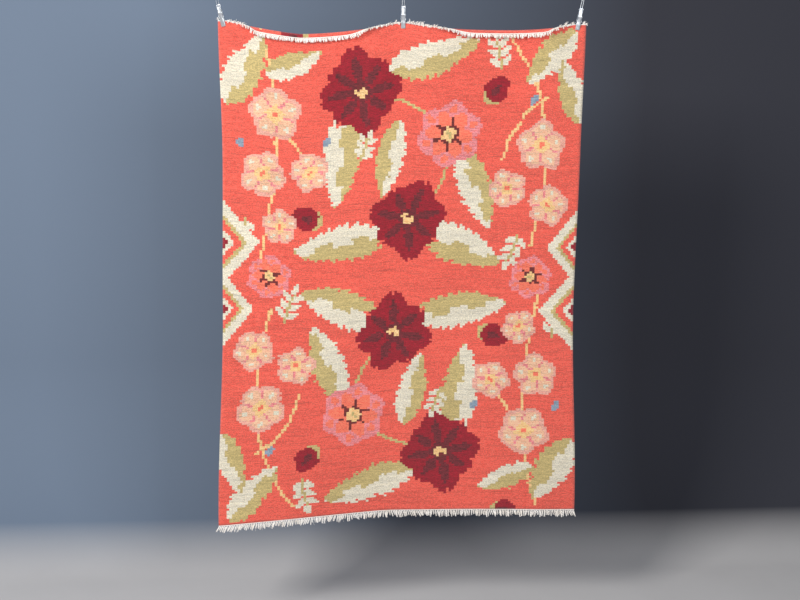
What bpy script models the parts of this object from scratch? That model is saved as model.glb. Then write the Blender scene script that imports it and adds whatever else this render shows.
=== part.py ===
"""A flat-woven wool kilim rug hanging from three polished steel spring clips.

Metres, +Z up.  The front of the rug faces -Y.  The origin is the inside top of the centre clip's wire
bail, the point that carries the weight when the rug hangs.  Each sub-part is one closed solid.
"""
import math
import random

import bmesh
import bpy
from mathutils import Matrix, Vector

# ---------------------------------------------------------------- driving dimensions of the cloth
CLOTH = 0.003              # thickness of the weft-faced weave
PARTING = 0.0003           # clearance kept between pieces that touch
LIP_FREE = 0.010           # cloth that hangs straight after the roll at the top edge
LIP_ROLL = 0.020           # cloth taken up by the forward roll itself
LIP_ROWS = 9               # rows of faces in the lip
FIELD_ROWS = 19            # rows of faces below the lip
SPAN_COLUMNS = 16          # columns of faces between two clips

# ---------------------------------------------------------------- driving dimensions of the clips
EDGE_BELOW_ORIGIN = 0.120  # the cloth's top edge under the inside top of the bail
GRIP = 0.023               # how far the jaws reach down over the cloth
STEEL = 0.0012             # sheet steel of the arms
HINGE_UP = 0.0195          # hinge pin above the cloth's top edge
HINGE_BACK = -0.001
BAIL_PIN_UP = 0.072        # pin that carries the wire bail
BAIL_PIN_BACK = -0.0005
PIN_RADIUS = 0.0014
PIN_HEAD_RADIUS = 0.0026
PIN_HEAD_LENGTH = 0.0016
WIRE_RADIUS = 0.0013
BAIL_HALF_WIDTH = 0.0045   # centre of the bail to the centre of each leg
HOOK_SWEEP = 210.0         # degrees that each foot of the bail wraps round its pin
HOOK_STEPS = 6
ARCH_STEPS = 8

# side, where the clip crosses the top edge, lean from upright (top to the right is positive),
# start and end of the stretch of cloth that its jaws hold flat
CLIPS = (
    ("left", -0.8230, math.radians(-14.0), -0.8360, -0.8030),
    ("centre", 0.0, math.radians(0.0), -0.0165, 0.0165),
    ("right", 0.8150, math.radians(9.5), 0.7985, 0.8315),
)

# The top edge sags between the clips and rolls forward.  One row for each half swag:
# held at, lowest at, sag, roll at the lowest point, how quickly it drops, how quickly it rolls
HALF_SWAGS = (
    (-0.8030, -0.4700, 0.054, math.radians(166.0), 1.3, 3.0),
    (-0.0165, -0.4700, 0.054, math.radians(166.0), 1.7, 2.2),
    (0.0165, 0.4500, 0.028, math.radians(150.0), 2.6, 1.6),
    (0.7985, 0.4500, 0.028, math.radians(150.0), 2.2, 3.2),
)
ROLL_STARTS = 0.115        # share of a half swag beside a clip that stays upright

# The outline narrows towards the middle: below the top edge, reach to the left, reach to the right
OUTLINE = (
    (0.00, 0.8430, 0.8530),
    (0.60, 0.8290, 0.8460),
    (1.30, 0.8350, 0.8380),
    (2.35, 0.8660, 0.8780),
)

# The bottom edge runs up from one corner: place across, drop from the top edge, swing towards the back
BOTTOM_EDGE = (
    (-0.843, 2.373, -0.075),
    (-0.060, 2.347, 0.034),
    (0.420, 2.345, 0.010),
    (0.853, 2.352, 0.000),
)
BOTTOM_SOFTNESS = 0.05     # reach over which the bottom edge rounds from one stretch to the next

# Soft vertical folds: place across, half spread across, place below the top, half spread down, depth
SOFT_FOLDS = (
    (-0.640, 0.070, 0.10, 0.50, -0.009),
    (-0.300, 0.110, 0.15, 0.60, 0.006),
    (-0.120, 0.060, 0.08, 0.30, -0.006),
    (0.150, 0.070, 0.08, 0.35, -0.007),
    (0.420, 0.140, 0.20, 0.70, 0.007),
    (0.680, 0.080, 0.10, 0.45, -0.008),
    (-0.560, 0.150, 1.90, 0.50, -0.006),
    (0.260, 0.160, 1.80, 0.60, 0.006),
    (0.700, 0.090, 2.10, 0.50, -0.005),
)
CALM_REACH = 0.06          # the folds die out this near to the jaws

# ---------------------------------------------------------------- driving dimensions of the fringe
HEADING = 0.007            # twined cotton strip between the cloth and the locks
LOCK_PITCH = 0.0162
LOCK_FILL = 0.62           # share of the pitch that a lock's root takes
LOCK_DROOP = 0.013         # length over which a top lock bends over most of the way
LOCK_HANGS = math.radians(171.0)
LOCK_STRAY = 0.05          # sideways lean that each lock may add to its neighbour's
TOP_LOCKS = (0.017, 0.022)       # shortest and longest
BOTTOM_LOCKS = (0.028, 0.034)
LOCK_NARROWS = 0.55        # shares of its width and thickness that a lock loses towards its tip
LOCK_THINS = 0.30
FRINGE_SEED = 41

# How the locks lean outwards at the corners: corner (-1 left, 1 right), reach from it, lean at it
TOP_SPLAY = (
    (-1.0, 0.05, 0.32),
    (1.0, 0.03, 0.32),
)
BOTTOM_SPLAY = (
    (-1.0, 0.12, 0.55),
    (1.0, 0.03, 0.32),
)

# ---------------------------------------------------------------- helpers


def clear_scene():
    """Start from an empty scene."""
    for old in list(bpy.data.objects):
        bpy.data.objects.remove(old, do_unlink=True)


def new_collection(name):
    collection = bpy.data.collections.new(name)
    bpy.context.scene.collection.children.link(collection)
    return collection


def new_material(name, colour, roughness, metallic=0.0):
    """A plain Principled material for one part."""
    material = bpy.data.materials.new(name)
    material.use_nodes = True
    shader = material.node_tree.nodes["Principled BSDF"]
    shader.inputs["Base Color"].default_value = (*colour, 1.0)
    shader.inputs["Roughness"].default_value = roughness
    shader.inputs["Metallic"].default_value = metallic
    return material


def add_object(name, data, material, collection):
    part = bpy.data.objects.new(name, data)
    data.materials.append(material)
    collection.objects.link(part)
    return part


def smooth_step(amount):
    """Ease from 0 to 1."""
    amount = min(max(amount, 0.0), 1.0)
    return amount * amount * (3.0 - 2.0 * amount)


def evenly(amount):
    """No ease: straight from 0 to 1."""
    return amount


def read_table(table, place, column, ease=smooth_step):
    """Value of a column of a table at a place between two rows, eased so that it has no corners."""
    if place <= table[0][0]:
        return table[0][column]
    for low, high in zip(table, table[1:]):
        if place <= high[0]:
            share = ease((place - low[0]) / (high[0] - low[0]))
            return low[column] + (high[column] - low[column]) * share
    return table[-1][column]


def bent_grid(name, rows):
    """An open grid whose points are moved to rows of places; Solidify turns it into a sheet."""
    grid = bmesh.new()
    across = len(rows[0])
    down = len(rows)
    bmesh.ops.create_grid(grid, x_segments=across - 1, y_segments=down - 1, size=0.5)
    for vertex in grid.verts:
        column = round((vertex.co.x + 0.5) * (across - 1))
        row = round((0.5 - vertex.co.y) * (down - 1))
        vertex.co = rows[row][column]
    mesh = bpy.data.meshes.new(name)
    grid.to_mesh(mesh)
    grid.free()
    mesh.shade_smooth()
    return mesh


# ---------------------------------------------------------------- how the cloth hangs


def swag_at(across):
    """Sag of the top edge and its forward roll at a place across the top."""
    for held, lowest, sag, roll, drops, rolls in HALF_SWAGS:
        share = (across - held) / (lowest - held)
        if 0.0 < share <= 1.0:
            drop = 1.0 - (1.0 - share) ** drops
            return sag * drop, roll * smooth_step((share - ROLL_STARTS) * rolls)
    return 0.0, 0.0


def lip_steps(roll):
    """Forward and upward places of the lip's rows, from the free edge down to where it hangs."""
    fine = 8
    length = LIP_FREE + LIP_ROLL
    step = length / (LIP_ROWS * fine)
    forward = 0.0
    height = 0.0
    places = [(forward, height)]
    for count in range(LIP_ROWS * fine):
        run = (count + 0.5) * step
        angle = roll * min(run / LIP_ROLL, 1.0)
        forward += math.sin(angle) * step
        height += math.cos(angle) * step
        if (count + 1) % fine == 0:
            places.append((forward, height))
    places.reverse()
    return places


def fold_depth(across, down):
    """Depth of the soft folds, kept flat where the jaws hold the cloth."""
    depth = 0.0
    for place, spread, level, reach, amount in SOFT_FOLDS:
        side = (across - place) / spread
        height = (down - level) / reach
        depth += amount * math.exp(-side * side - height * height)
    calm = 1.0
    for _side, _place, _lean, start, end in CLIPS:
        away = max(start - across, across - end, 0.0)
        calm = min(calm, smooth_step(away / CALM_REACH))
    release = smooth_step((down - 0.04) / 0.16)
    return depth * (calm + (1.0 - calm) * release)


def side_at(across, down):
    """Where a column that starts at a place across the top edge stands, at a depth below that edge."""
    reach = 1 if across < 0.0 else 2
    return across * read_table(OUTLINE, down, reach) / OUTLINE[0][reach]


def bottom_at(across, column):
    """Drop or swing of the bottom edge: straight stretches with soft corners between them."""
    spots = [across + BOTTOM_SOFTNESS * step / 2.0 for step in range(-2, 3)]
    return sum(read_table(BOTTOM_EDGE, spot, column, evenly) for spot in spots) / len(spots)


def swing_share(down, length):
    """How much of the bottom edge's swing has built up at a depth below the top edge."""
    started = 0.05
    return max((down - started) / (length - started), 0.0) ** 1.6


def cloth_column(across):
    """Middle of the cloth from the top edge to the bottom edge, at a place across the top."""
    sag, roll = swag_at(across)
    lip = lip_steps(roll)
    crown = max(height for _forward, height in lip)
    hang_down = sag + crown
    bottom_down = bottom_at(across, 1)
    swing = bottom_at(across, 2)
    points = []
    hang_back = fold_depth(across, hang_down)
    for forward, height in lip:
        down = hang_down - height
        side = side_at(across, down)
        points.append(Vector((side, hang_back - forward, -EDGE_BELOW_ORIGIN - down)))
    for row in range(1, FIELD_ROWS + 1):
        down = hang_down + (bottom_down - hang_down) * row / FIELD_ROWS
        side = side_at(across, down)
        back = swing * swing_share(down, bottom_down) + fold_depth(across, down)
        points.append(Vector((side, back, -EDGE_BELOW_ORIGIN - down)))
    return points


def column_places():
    """Places across the top edge where the cloth's columns stand."""
    places = [-OUTLINE[0][1]]
    for count, (_side, _place, _lean, start, end) in enumerate(CLIPS):
        places += [start, end]
        if count + 1 < len(CLIPS):
            span = CLIPS[count + 1][3] - end
            places += [end + span * step / SPAN_COLUMNS for step in range(1, SPAN_COLUMNS)]
    return places + [OUTLINE[0][2]]


def build_field(columns, material, collection):
    """The woven field: one sheet with its sag, its rolled lip and its folds."""
    rows = list(zip(*columns))
    field = add_object("woven_field", bent_grid("woven_field", rows), material, collection)
    thick = field.modifiers.new("Thickness", "SOLIDIFY")
    thick.thickness = CLOTH
    thick.offset = 0.0
    return field


# ---------------------------------------------------------------- fringes


def front_at(field_mesh, place):
    """Front normal of the cloth at one of its points."""
    nearest = min(field_mesh.vertices, key=lambda vertex: (vertex.co - place).length)
    return nearest.normal.copy()


def edge_frames(columns, field_mesh, row, turn):
    """Root point, outward direction and front normal of each column at one end of the cloth.

    The root stands one parting off the cloth, and a little more where the edge twists, because a
    twisted edge bulges between its columns.
    """
    edge = [column[row] for column in columns]
    normals = [front_at(field_mesh, place) for place in edge]
    bulges = [(high - low).length * CLOTH / 4.0 for low, high in zip(normals, normals[1:])]
    bulges = [0.0] + bulges + [0.0]
    frames = []
    for count, (place, front) in enumerate(zip(edge, normals)):
        left = edge[max(count - 1, 0)]
        right = edge[min(count + 1, len(edge) - 1)]
        outward = front.cross(right - left).normalized() * turn
        root = place + outward * (PARTING + max(bulges[count], bulges[count + 1]))
        frames.append((root, outward, front))
    return frames


def between(low, high, share):
    """A frame part of the way from one column's frame to the next."""
    return tuple(first.lerp(second, share) for first, second in zip(low, high))


def strip_columns(frames, skips):
    """Sections of the heading strip, each with a flag that says whether a lock starts there."""
    sections = [(frames[0], False)]
    for low, high in zip(frames, frames[1:]):
        width = (high[0] - low[0]).length
        locks = max(round(width / LOCK_PITCH), 1)
        bare = any(start <= (low[0].x + high[0].x) / 2.0 <= end for start, end in skips)
        if bare:
            sections.append((high, False))
            continue
        margin = (1.0 - LOCK_FILL) / 2.0
        for lock in range(locks):
            sections.append((between(low, high, (lock + margin) / locks), True))
            sections.append((between(low, high, (lock + 1.0 - margin) / locks), False))
        sections.append((high, False))
    return sections


def lock_path(frame, length, segments, lean, droop):
    """Centre points of one lock, from its root outwards, with its across and front directions.

    A top lock starts in the direction of the rolled edge and bends over until it hangs.
    """
    root, outward, _front = frame
    point = root + outward * HEADING
    started = math.atan2(-outward.y, outward.z)
    path = []
    step = length / segments
    for count in range(1, segments + 1):
        share = 1.0 - math.exp(-(count - 0.5) * step / LOCK_DROOP) if droop else 0.0
        angle = started + (LOCK_HANGS - started) * share
        heading = Vector((lean + outward.x * (1.0 - share), -math.sin(angle), math.cos(angle)))
        heading.normalize()
        point = point + heading * step
        across = Vector((1.0, 0.0, 0.0)) - heading * heading.x
        across.normalize()
        path.append((point.copy(), across, across.cross(heading).normalized()))
    return path


def corner_lean(side, splay):
    """Locks splay outwards at the corners of the rug."""
    lean = 0.0
    for corner, reach, amount in splay:
        away = abs(side - corner * OUTLINE[0][1 if corner < 0.0 else 2])
        lean += corner * amount * math.exp(-away / reach)
    return lean


def grow_lock(strip, ring, frame, width, length, segments, lean, droop):
    """Extend four root points of the heading into one tapered four-sided lock."""
    half = CLOTH / 2.0
    path = lock_path(frame, length, segments, lean, droop)
    for number, (point, across, back) in enumerate(path, 1):
        share = number / segments
        side = across * (width / 2.0 * (1.0 - LOCK_NARROWS * share ** 1.5))
        depth = back * (half * (1.0 - LOCK_THINS * share))
        if depth.dot(ring[0].co - ring[3].co) < 0.0:
            depth = -depth
        offsets = (depth - side, depth + side, side - depth, -side - depth)
        following = [strip.verts.new(point + offset) for offset in offsets]
        for corner in range(4):
            follow = (corner + 1) % 4
            strip.faces.new((ring[corner], ring[follow], following[follow], following[corner]))
        ring = following
    strip.faces.new(ring)


def build_fringe(name, frames, skips, segments, lengths, droop, splay, material, collection):
    """A twined heading strip with its locks, fused at the roots."""
    draw = random.Random(FRINGE_SEED + segments)
    sections = strip_columns(frames, skips)
    strip = bmesh.new()
    half = CLOTH / 2.0
    rings = []
    for (root, outward, front), _lock in sections:
        outer = root + outward * HEADING
        corners = (root + front * half, root - front * half, outer - front * half, outer + front * half)
        rings.append([strip.verts.new(corner) for corner in corners])
    strip.faces.new(rings[0])
    strip.faces.new(rings[-1])
    drift = 0.0
    pairs = zip(sections, sections[1:], rings, rings[1:])
    for (low_frame, starts_lock), (high_frame, _lock), low, high in pairs:
        for side in (0, 1, 3):
            follow = (side + 1) % 4
            strip.faces.new((low[side], high[side], high[follow], low[follow]))
        root = (low[2], high[2], high[3], low[3])
        if not starts_lock:
            strip.faces.new(root)
            continue
        drift = drift * 0.6 + draw.uniform(-LOCK_STRAY, LOCK_STRAY)
        middle = between(low_frame, high_frame, 0.5)
        width = (high_frame[0] - low_frame[0]).length
        length = draw.uniform(*lengths)
        lean = drift + corner_lean(middle[0].x, splay)
        grow_lock(strip, root, middle, width, length, segments, lean, droop)
    bmesh.ops.recalc_face_normals(strip, faces=strip.faces)
    mesh = bpy.data.meshes.new(name)
    strip.to_mesh(mesh)
    strip.free()
    return add_object(name, mesh, material, collection)


# ---------------------------------------------------------------- clips

# Sections of the pressed arms: height above the cloth's edge, half width, crown, edge of the cheeks
BACK_ARM = (
    (-GRIP, 0.0105, 0.0050, 0.0018),
    (-0.0150, 0.0110, 0.0065, 0.0018),
    (0.0105, 0.0110, 0.0085, 0.0018),
    (0.0135, 0.0110, 0.0085, -0.0055),
    (0.0255, 0.0110, 0.0085, -0.0055),
    (0.0285, 0.0110, 0.0085, -0.0005),
    (0.0400, 0.0108, 0.0085, -0.0015),
    (0.0560, 0.0090, 0.0082, -0.0050),
    (0.0780, 0.0086, 0.0080, -0.0050),
)
FRONT_JAW = (
    (-GRIP, 0.0102, -0.0050, -0.0018),
    (-0.0150, 0.0106, -0.0068, -0.0018),
    (0.0060, 0.0106, -0.0095, -0.0018),
    (0.0105, 0.0094, -0.0100, -0.0018),
    (0.0135, 0.0094, -0.0103, 0.0022),
    (0.0255, 0.0094, -0.0122, 0.0022),
    (0.0290, 0.0094, -0.0130, -0.0062),
    (0.0400, 0.0110, -0.0154, -0.0107),
)


def arm_mesh(name, stations):
    """A pressed channel: cheeks, rounded shoulders and a crowned face, lofted along its length."""
    rows = []
    for height, half_width, crown, cheek in stations:
        shoulder = cheek + 0.62 * (crown - cheek)
        near_crown = crown - 0.08 * (crown - cheek)
        section = (
            (-half_width, cheek),
            (-half_width, shoulder),
            (-0.62 * half_width, near_crown),
            (0.0, crown),
            (0.62 * half_width, near_crown),
            (half_width, shoulder),
            (half_width, cheek),
        )
        rows.append([Vector((side, back, height)) for side, back in section])
    return bent_grid(name, rows)


def pin_placement(placement, up, back):
    """Lays a pin's own axis across the clip."""
    return placement @ Matrix.Translation((0.0, back, up)) @ Matrix.Rotation(math.pi / 2.0, 4, "Y")


def add_pin(name, up, back, half_length, placement, material, collection):
    """A turned pin with a domed head at each end, its axis across the clip."""
    inside = half_length - PIN_HEAD_LENGTH
    outline = (
        (0.0, half_length),
        (PIN_HEAD_RADIUS * 0.6, half_length - PIN_HEAD_LENGTH * 0.2),
        (PIN_HEAD_RADIUS, half_length - PIN_HEAD_LENGTH * 0.7),
        (PIN_HEAD_RADIUS, inside),
        (PIN_RADIUS, inside),
        (PIN_RADIUS, -inside),
        (PIN_HEAD_RADIUS, -inside),
        (PIN_HEAD_RADIUS, -half_length + PIN_HEAD_LENGTH * 0.7),
        (PIN_HEAD_RADIUS * 0.6, -half_length + PIN_HEAD_LENGTH * 0.2),
        (0.0, -half_length),
    )
    mesh = bpy.data.meshes.new(name)
    links = [(count, count + 1) for count in range(len(outline) - 1)]
    mesh.from_pydata([(radius, 0.0, along) for radius, along in outline], links, [])
    pin = add_object(name, mesh, material, collection)
    turned = pin.modifiers.new("Turned", "SCREW")
    turned.angle = math.tau
    turned.steps = 10
    turned.render_steps = 10
    turned.use_merge_vertices = True
    turned.merge_threshold = 0.00005
    pin.matrix_world = pin_placement(placement, up, back)
    return pin


def pin_cutter(name, up, back, placement, collection):
    """A drill for a pin's holes, one parting wider than the pin."""
    mesh = bpy.data.meshes.new(name)
    drill = bmesh.new()
    radius = PIN_RADIUS + PARTING
    bmesh.ops.create_cone(drill, cap_ends=True, segments=10, radius1=radius, radius2=radius, depth=0.040)
    drill.to_mesh(mesh)
    drill.free()
    cutter = bpy.data.objects.new(name, mesh)
    collection.objects.link(cutter)
    cutter.matrix_world = pin_placement(placement, up, back)
    cutter.hide_render = True
    cutter.display_type = "WIRE"
    return cutter


def bail_path():
    """The wire from one hooked foot, up a leg, over the top and down to the other foot."""
    hook = PIN_RADIUS + PARTING + WIRE_RADIUS
    top = EDGE_BELOW_ORIGIN + WIRE_RADIUS - BAIL_HALF_WIDTH
    left = []
    for step in range(HOOK_STEPS + 1):
        turn = math.radians(-180.0 + HOOK_SWEEP * step / HOOK_STEPS)
        back = BAIL_PIN_BACK + hook * math.cos(turn)
        left.append((-BAIL_HALF_WIDTH, back, BAIL_PIN_UP + hook * math.sin(turn)))
    left.append((-BAIL_HALF_WIDTH, BAIL_PIN_BACK + hook, BAIL_PIN_UP + 0.004))
    arch = []
    for step in range(ARCH_STEPS + 1):
        turn = math.pi - math.pi * step / ARCH_STEPS
        arch.append((BAIL_HALF_WIDTH * math.cos(turn), 0.0, top + BAIL_HALF_WIDTH * math.sin(turn)))
    right = [(-side, back, up) for side, back, up in reversed(left)]
    return left + arch + right


def add_bail(name, placement, material, collection):
    """An inverted U of wire, hooked under its pin."""
    curve = bpy.data.curves.new(name, "CURVE")
    curve.dimensions = "3D"
    curve.bevel_depth = WIRE_RADIUS
    curve.bevel_resolution = 2
    curve.use_fill_caps = True
    points = bail_path()
    spline = curve.splines.new("POLY")
    spline.points.add(len(points) - 1)
    for point, place in zip(spline.points, points):
        point.co = (*place, 1.0)
    bail = add_object(name, curve, material, collection)
    bail.matrix_world = placement
    return bail


def build_clip(side, across, lean, material, collection, cutters):
    """One spring clip: long back arm, short front jaw, hinge pin, bail pin and wire bail."""
    placement = Matrix.Translation((across, 0.0, -EDGE_BELOW_ORIGIN)) @ Matrix.Rotation(lean, 4, "Y")
    hinge = pin_cutter(f"{side}_hinge_drill", HINGE_UP, HINGE_BACK, placement, cutters)
    carrier = pin_cutter(f"{side}_bail_drill", BAIL_PIN_UP, BAIL_PIN_BACK, placement, cutters)
    arms = (
        (f"{side}_clip_back_arm", BACK_ARM, -1.0, (hinge, carrier)),
        (f"{side}_clip_front_jaw", FRONT_JAW, 1.0, (hinge,)),
    )
    for name, stations, inward, drills in arms:
        arm = add_object(name, arm_mesh(name, stations), material, collection)
        arm.matrix_world = placement
        sheet = arm.modifiers.new("Sheet steel", "SOLIDIFY")
        sheet.thickness = STEEL
        sheet.offset = inward
        for drill in drills:
            hole = arm.modifiers.new(drill.name, "BOOLEAN")
            hole.operation = "DIFFERENCE"
            hole.object = drill
    ears = BACK_ARM[3][1] + PARTING + PIN_HEAD_LENGTH
    neck = BACK_ARM[-2][1] + PARTING + PIN_HEAD_LENGTH
    add_pin(f"{side}_clip_hinge_pin", HINGE_UP, HINGE_BACK, ears, placement, material, collection)
    add_pin(f"{side}_clip_bail_pin", BAIL_PIN_UP, BAIL_PIN_BACK, neck, placement, material, collection)
    add_bail(f"{side}_clip_bail", placement, material, collection)


# ---------------------------------------------------------------- the whole part


def main():
    clear_scene()
    rug = new_collection("hung_kilim_rug")
    cutters = new_collection("cutters")
    wool = new_material("coral_wool", (0.82, 0.13, 0.09), 0.9)
    cotton = new_material("undyed_cotton", (0.78, 0.72, 0.60), 0.85)
    steel = new_material("polished_steel", (0.76, 0.78, 0.81), 0.18, 1.0)

    columns = [cloth_column(place) for place in column_places()]
    field = build_field(columns, wool, rug)
    held = [(start, end) for _side, _place, _lean, start, end in CLIPS]
    top = edge_frames(columns, field.data, 0, 1.0)
    bottom = edge_frames(columns, field.data, -1, -1.0)
    build_fringe("top_fringe", top, held, 3, TOP_LOCKS, True, TOP_SPLAY, cotton, rug)
    build_fringe("bottom_fringe", bottom, (), 2, BOTTOM_LOCKS, False, BOTTOM_SPLAY, cotton, rug)
    for side, across, lean, _start, _end in CLIPS:
        build_clip(side, across, lean, steel, rug, cutters)


main()
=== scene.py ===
# %% [markdown]
# # A kilim rug hung from three spring clips
# The part is a flat-woven wool rug, about 1.70 m by 2.36 m without its fringes, gripped along one end by
# three steel clips.  The frame below gives the solids that were built first: the cloth in its hang, two
# fringes on their heading strips, and the clips.  Everything made here is laid on that frame, in metres,
# with the front of the rug facing -Y.

# %% Load the frame
import math
import random

import bmesh
import bpy
import numpy as np
from mathutils import Matrix, Vector


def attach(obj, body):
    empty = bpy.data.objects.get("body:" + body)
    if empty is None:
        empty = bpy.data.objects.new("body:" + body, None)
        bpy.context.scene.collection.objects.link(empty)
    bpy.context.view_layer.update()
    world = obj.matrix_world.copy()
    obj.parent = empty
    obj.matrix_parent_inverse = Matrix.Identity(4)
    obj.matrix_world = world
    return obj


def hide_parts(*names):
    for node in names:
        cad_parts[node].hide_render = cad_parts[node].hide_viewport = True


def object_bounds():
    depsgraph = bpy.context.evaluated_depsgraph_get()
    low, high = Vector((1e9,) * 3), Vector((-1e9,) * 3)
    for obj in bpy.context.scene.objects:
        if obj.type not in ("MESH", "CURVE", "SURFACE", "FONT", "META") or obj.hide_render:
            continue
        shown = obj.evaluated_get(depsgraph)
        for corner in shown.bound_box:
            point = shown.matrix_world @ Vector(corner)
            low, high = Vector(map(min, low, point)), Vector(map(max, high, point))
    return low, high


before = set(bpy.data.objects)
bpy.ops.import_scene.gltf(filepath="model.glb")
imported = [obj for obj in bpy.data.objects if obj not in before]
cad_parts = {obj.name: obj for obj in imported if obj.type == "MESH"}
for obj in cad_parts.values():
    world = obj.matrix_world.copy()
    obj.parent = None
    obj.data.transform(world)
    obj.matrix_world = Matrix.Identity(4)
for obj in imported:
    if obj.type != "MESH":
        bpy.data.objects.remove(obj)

solid_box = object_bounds()
print("solids:", len(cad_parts), "nodes, box", [list(corner) for corner in solid_box])

# %% [markdown]
# ## The camera
# The rug is looked at from about its own top edge's height, from a little to the left and from nearly
# seven metres away.  A long lens keeps the two sides almost parallel.  The camera is turned to the right
# and down to take the whole rug in, and it is rolled by less than a degree.

# %% Place the camera
scene = bpy.context.scene
lens_camera = bpy.data.cameras.new("camera")
lens_camera.sensor_width = 36.0
lens_camera.lens = 67.5
lens_camera.clip_end = 60.0
camera = bpy.data.objects.new("camera", lens_camera)
scene.collection.objects.link(camera)
CAMERA_YAW = math.radians(5.67)
CAMERA_PITCH = math.radians(11.19)
CAMERA_ROLL = math.radians(0.68)
turned = Matrix.Rotation(-CAMERA_YAW, 4, "Z") @ Matrix.Rotation(math.pi / 2 - CAMERA_PITCH, 4, "X")
stand = Matrix.Translation((-0.69, -6.955, -0.03))
camera.matrix_world = stand @ turned @ Matrix.Rotation(CAMERA_ROLL, 4, "Z")
scene.camera = camera
print("camera lens:", lens_camera.lens, "mm, distance to the rug:", round(camera.location.length, 3), "m")

# %% [markdown]
# ## How the cloth hangs
# The rug is one woven sheet.  Its top edge is held flat in the three clips, sags between them and rolls
# forward, so that a little of the reverse shows.  The sides draw in slightly and the bottom edge swings
# out at one corner.  The same short tables as in the solids say all of this, and one function turns a
# place across the rug into a whole column of points.  A formula keeps the folds exactly where the
# solids have them, which a simulation would not.

# %% Sizes of the cloth
CLOTH = 0.003
PARTING = 0.0003
LIP_FREE = 0.010
LIP_ROLL = 0.020
EDGE_BELOW_ORIGIN = 0.120

# side, place across, lean, start and end of the stretch that the jaws hold flat
CLIPS = (
    ("left", -0.8230, math.radians(-14.0), -0.8360, -0.8030),
    ("centre", 0.0, math.radians(0.0), -0.0165, 0.0165),
    ("right", 0.8150, math.radians(9.5), 0.7985, 0.8315),
)

# held at, lowest at, sag, roll at the lowest point, how quickly it drops, how quickly it rolls
HALF_SWAGS = (
    (-0.8030, -0.4700, 0.054, math.radians(166.0), 1.3, 3.0),
    (-0.0165, -0.4700, 0.054, math.radians(166.0), 1.7, 2.2),
    (0.0165, 0.4500, 0.028, math.radians(150.0), 2.6, 1.6),
    (0.7985, 0.4500, 0.028, math.radians(150.0), 2.2, 3.2),
)
ROLL_STARTS = 0.115

# below the top edge, reach to the left, reach to the right
OUTLINE = (
    (0.00, 0.8430, 0.8530),
    (0.60, 0.8290, 0.8460),
    (1.30, 0.8350, 0.8380),
    (2.35, 0.8660, 0.8780),
)
TOP_LEFT = -OUTLINE[0][1]
TOP_RIGHT = OUTLINE[0][2]

# place across, drop from the top edge, swing towards the back
BOTTOM_EDGE = (
    (-0.843, 2.373, -0.075),
    (-0.060, 2.347, 0.034),
    (0.420, 2.345, 0.010),
    (0.853, 2.352, 0.000),
)
BOTTOM_SOFTNESS = 0.05

# place across, half spread across, place below the top, half spread down, depth
SOFT_FOLDS = (
    (-0.640, 0.070, 0.10, 0.50, -0.009),
    (-0.300, 0.110, 0.15, 0.60, 0.006),
    (-0.120, 0.060, 0.08, 0.30, -0.006),
    (0.150, 0.070, 0.08, 0.35, -0.007),
    (0.420, 0.140, 0.20, 0.70, 0.007),
    (0.680, 0.080, 0.10, 0.45, -0.008),
    (-0.560, 0.150, 1.90, 0.50, -0.006),
    (0.260, 0.160, 1.80, 0.60, 0.006),
    (0.700, 0.090, 2.10, 0.50, -0.005),
)
CALM_REACH = 0.06


# %% Ease between the rows of a table
def smooth_step(amount):
    amount = min(max(amount, 0.0), 1.0)
    return amount * amount * (3.0 - 2.0 * amount)


def evenly(amount):
    return amount


def read_table(table, place, column, ease=smooth_step):
    if place <= table[0][0]:
        return table[0][column]
    for low, high in zip(table, table[1:]):
        if place <= high[0]:
            share = ease((place - low[0]) / (high[0] - low[0]))
            return low[column] + (high[column] - low[column]) * share
    return table[-1][column]


# %% Sag, roll and folds of the cloth
CELL_WIDE = 0.0124
CELL_TALL = 0.0101
CLOTH_LONG = 2.350
COLUMNS = round((TOP_RIGHT - TOP_LEFT) / CELL_WIDE)
ROWS = round(CLOTH_LONG / CELL_TALL)
LIP_CELLS = 3
LIP_ROWS = 4 * LIP_CELLS
FIELD_ROWS = ROWS - LIP_CELLS


def swag_at(across):
    for held, lowest, sag, roll, drops, rolls in HALF_SWAGS:
        share = (across - held) / (lowest - held)
        if 0.0 < share <= 1.0:
            drop = 1.0 - (1.0 - share) ** drops
            return sag * drop, roll * smooth_step((share - ROLL_STARTS) * rolls)
    return 0.0, 0.0


def lip_steps(roll):
    """Forward and upward places of the lip's rows, from the free edge down to where the cloth hangs."""
    fine = 6
    step = (LIP_FREE + LIP_ROLL) / (LIP_ROWS * fine)
    forward = height = 0.0
    places = [(forward, height)]
    for count in range(LIP_ROWS * fine):
        angle = roll * min((count + 0.5) * step / LIP_ROLL, 1.0)
        forward += math.sin(angle) * step
        height += math.cos(angle) * step
        if (count + 1) % fine == 0:
            places.append((forward, height))
    return places[::-1]


def fold_depth(across, down):
    depth = 0.0
    for place, spread, level, reach, amount in SOFT_FOLDS:
        side = (across - place) / spread
        height = (down - level) / reach
        depth += amount * math.exp(-side * side - height * height)
    calm = 1.0
    for _side, _place, _lean, start, end in CLIPS:
        away = max(start - across, across - end, 0.0)
        calm = min(calm, smooth_step(away / CALM_REACH))
    release = smooth_step((down - 0.04) / 0.16)
    return depth * (calm + (1.0 - calm) * release)


# %% One column of the cloth
SWING_STARTS = 0.05


def side_at(across, down):
    """Where a column stands at a depth: the outline narrows towards the middle of the rug."""
    reach = 1 if across < 0.0 else 2
    return across * read_table(OUTLINE, down, reach) / OUTLINE[0][reach]


def bottom_at(across, column):
    """Drop or swing of the bottom edge: straight stretches with soft corners between them."""
    spots = [across + BOTTOM_SOFTNESS * step / 2.0 for step in range(-2, 3)]
    return sum(read_table(BOTTOM_EDGE, spot, column, evenly) for spot in spots) / len(spots)


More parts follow.
